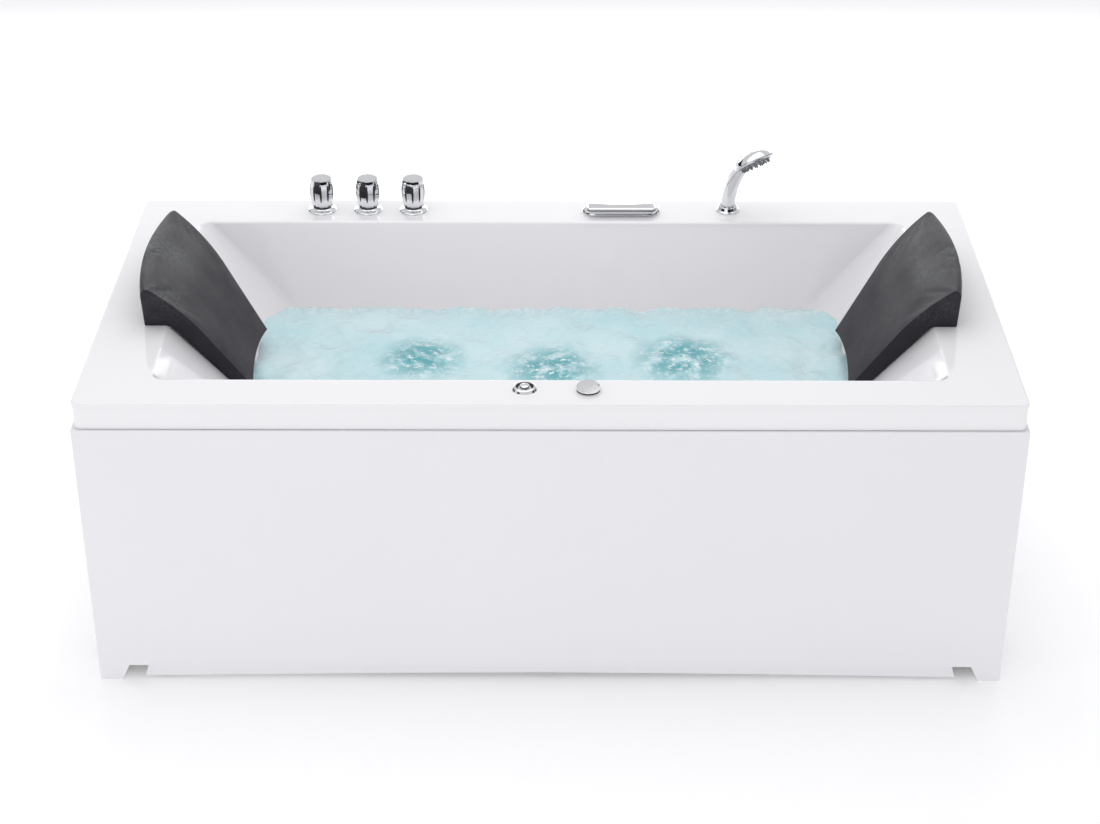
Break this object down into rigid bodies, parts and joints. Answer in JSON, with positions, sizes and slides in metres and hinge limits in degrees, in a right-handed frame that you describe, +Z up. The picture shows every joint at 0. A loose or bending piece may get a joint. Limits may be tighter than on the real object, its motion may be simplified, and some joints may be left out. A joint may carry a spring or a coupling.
{
  "type": "jetted bathtub",
  "caption": "Long rectangular jetted bathtub with a flat front apron, sloped basin, wall jets, rim taps, waterfall spout, hand shower and dark headrest pillows.",
  "frame": {"origin": "on the floor, below the middle of the tub's bounding box", "axes": "+X along the tub's length, +Y towards the wall behind it, the apron faces -Y, +Z up"},
  "size_m": [1.8, 0.9, 0.8095],
  "materials": {
    "shell": "gloss white acrylic",
    "panel": "satin white acrylic",
    "galvanised": "galvanised",
    "foot": "zinc plated",
    "board": "sealed plywood",
    "brass": "plain",
    "chrome": "polished",
    "spindle": "turned",
    "spray": "matt",
    "pillow": "grained charcoal",
    "pvc": "moulded white",
    "air_line": "clear grey",
    "pump": "black glass-filled",
    "motor": "dark grey",
    "rubber": "matt"
  },
  "bodies": {
    "tub": {"air_button_ring": "chrome", "air_pipes": "air_line", "base_frame": "galvanised", "cold_valve": "brass", "deck_lock_nuts": "brass", "diverter_valve": "brass", "drain_flange": "chrome", "foot_lock_nuts": "foot", "hot_valve": "brass", "jet_bodies": "pvc", "jet_rings": "chrome", "left_end_panel": "panel", "mixer_pipes": "brass", "overflow_flange": "chrome", "panel_brackets": "galvanised", "pump_housing": "pump", "pump_motor": "motor", "pump_mounts": "rubber", "pump_tray": "galvanised", "regulator_base": "chrome", "right_end_panel": "panel", "shower_holder": "chrome", "spout_shank": "brass", "suction_body": "pvc", "suction_guard": "chrome", "support_board": "board", "tap_escutcheons": "chrome", "tub_shell": "shell", "waste_pipework": "pvc", "water_pipes": "pvc", "waterfall_spout": "chrome"},
    "apron": {"front_apron": "panel"},
    "left_pillow": {"left_headrest": "pillow"},
    "right_pillow": {"right_headrest": "pillow"},
    "hot_tap": {"hot_knob": "chrome", "hot_spindle": "spindle"},
    "cold_tap": {"cold_knob": "chrome", "cold_spindle": "spindle"},
    "diverter": {"diverter_knob": "chrome", "diverter_spindle": "spindle"},
    "shower": {"hand_shower": "chrome", "spray_plate": "spray"},
    "button": {"air_button": "chrome"},
    "regulator": {"regulator_knob": "chrome"},
    "overflow_knob": {"waste_knob": "chrome"},
    "plug": {"drain_plug": "chrome"},
    "rotor": {"motor_shaft": "spindle", "impeller": "pump"},
    "nozzle_1": {"jet_nozzle_1": "chrome"},
    "foot_1": {"levelling_foot_1": "foot"},
    "nozzle_2": {"jet_nozzle_2": "chrome"},
    "foot_2": {"levelling_foot_2": "foot"},
    "nozzle_3": {"jet_nozzle_3": "chrome"},
    "foot_3": {"levelling_foot_3": "foot"},
    "nozzle_4": {"jet_nozzle_4": "chrome"},
    "foot_4": {"levelling_foot_4": "foot"},
    "nozzle_5": {"jet_nozzle_5": "chrome"},
    "foot_5": {"levelling_foot_5": "foot"},
    "nozzle_6": {"jet_nozzle_6": "chrome"},
    "foot_6": {"levelling_foot_6": "foot"}
  },
  "joints": [
    {"name": "apron_off", "type": "slide", "parent": "tub", "child": "apron", "axis": [0, -1, 0], "range_m": [0, 0.3]},
    {"name": "left_headrest_lift", "type": "slide", "parent": "tub", "child": "left_pillow", "axis": [0, 0, 1], "range_m": [0, 0.15]},
    {"name": "right_headrest_lift", "type": "slide", "parent": "tub", "child": "right_pillow", "axis": [0, 0, 1], "range_m": [0, 0.15]},
    {"name": "shower_lift", "type": "slide", "parent": "tub", "child": "shower", "axis": [0, 0, 1], "range_m": [0, 0.25]},
    {"name": "air_button_press", "type": "slide", "parent": "tub", "child": "button", "axis": [0, 0, -1], "range_m": [0, 0.004], "stiffness_N_per_m": 500, "springref_m": -0.002},
    {"name": "regulator_turn", "type": "hinge", "parent": "tub", "child": "regulator", "pos_m": [0.072, -0.394, 0.645], "axis": [0, 0, 1], "range_deg": [0, 180]},
    {"name": "hot_turn", "type": "hinge", "parent": "tub", "child": "hot_tap", "pos_m": [-0.5, 0.399, 0.68], "axis": [0, 0, 1], "range_deg": [0, 90]},
    {"name": "cold_turn", "type": "hinge", "parent": "tub", "child": "cold_tap", "pos_m": [-0.4, 0.399, 0.68], "axis": [0, 0, 1], "range_deg": [0, 90]},
    {"name": "diverter_turn", "type": "hinge", "parent": "tub", "child": "diverter", "pos_m": [-0.301, 0.399, 0.68], "axis": [0, 0, 1], "range_deg": [0, 90]},
    {"name": "waste_knob_turn", "type": "hinge", "parent": "tub", "child": "overflow_knob", "pos_m": [0.131, -0.32967, 0.545], "axis": [0, 0.9736, 0.2283], "range_deg": [0, 90]},
    {"name": "plug_lift", "type": "slide", "parent": "tub", "child": "plug", "axis": [0, 0, 1], "range_m": [0, 0.012]},
    {"name": "jet_1_tilt", "type": "hinge", "parent": "tub", "child": "nozzle_1", "pos_m": [-0.262, -0.28456, 0.33509], "axis": [1, 0, 0], "range_deg": [-15, 15]},
    {"name": "jet_2_tilt", "type": "hinge", "parent": "tub", "child": "nozzle_2", "pos_m": [0, -0.28456, 0.33509], "axis": [1, 0, 0], "range_deg": [-15, 15]},
    {"name": "jet_3_tilt", "type": "hinge", "parent": "tub", "child": "nozzle_3", "pos_m": [0.262, -0.28456, 0.33509], "axis": [1, 0, 0], "range_deg": [-15, 15]},
    {"name": "jet_4_tilt", "type": "hinge", "parent": "tub", "child": "nozzle_4", "pos_m": [-0.262, 0.27356, 0.33509], "axis": [1, 0, 0], "range_deg": [-15, 15]},
    {"name": "jet_5_tilt", "type": "hinge", "parent": "tub", "child": "nozzle_5", "pos_m": [0, 0.27356, 0.33509], "axis": [1, 0, 0], "range_deg": [-15, 15]},
    {"name": "jet_6_tilt", "type": "hinge", "parent": "tub", "child": "nozzle_6", "pos_m": [0.262, 0.27356, 0.33509], "axis": [1, 0, 0], "range_deg": [-15, 15]},
    {"name": "pump_spin", "type": "hinge", "parent": "tub", "child": "rotor", "pos_m": [0.7, -0.15, 0.27473], "axis": [0, 1, 0], "continuous": true},
    {"name": "foot_1_screw", "type": "slide", "parent": "tub", "child": "foot_1", "axis": [0, 0, -1], "range_m": [-0.01, 0.015]},
    {"name": "foot_2_screw", "type": "slide", "parent": "tub", "child": "foot_2", "axis": [0, 0, -1], "range_m": [-0.01, 0.015]},
    {"name": "foot_3_screw", "type": "slide", "parent": "tub", "child": "foot_3", "axis": [0, 0, -1], "range_m": [-0.01, 0.015]},
    {"name": "foot_4_screw", "type": "slide", "parent": "tub", "child": "foot_4", "axis": [0, 0, -1], "range_m": [-0.01, 0.015]},
    {"name": "foot_5_screw", "type": "slide", "parent": "tub", "child": "foot_5", "axis": [0, 0, -1], "range_m": [-0.01, 0.015]},
    {"name": "foot_6_screw", "type": "slide", "parent": "tub", "child": "foot_6", "axis": [0, 0, -1], "range_m": [-0.01, 0.015]}
  ],
  "couplings": [
    {"joint": "plug_lift", "follows": "waste_knob_turn", "m_per_rad": 0.00763}
  ]
}
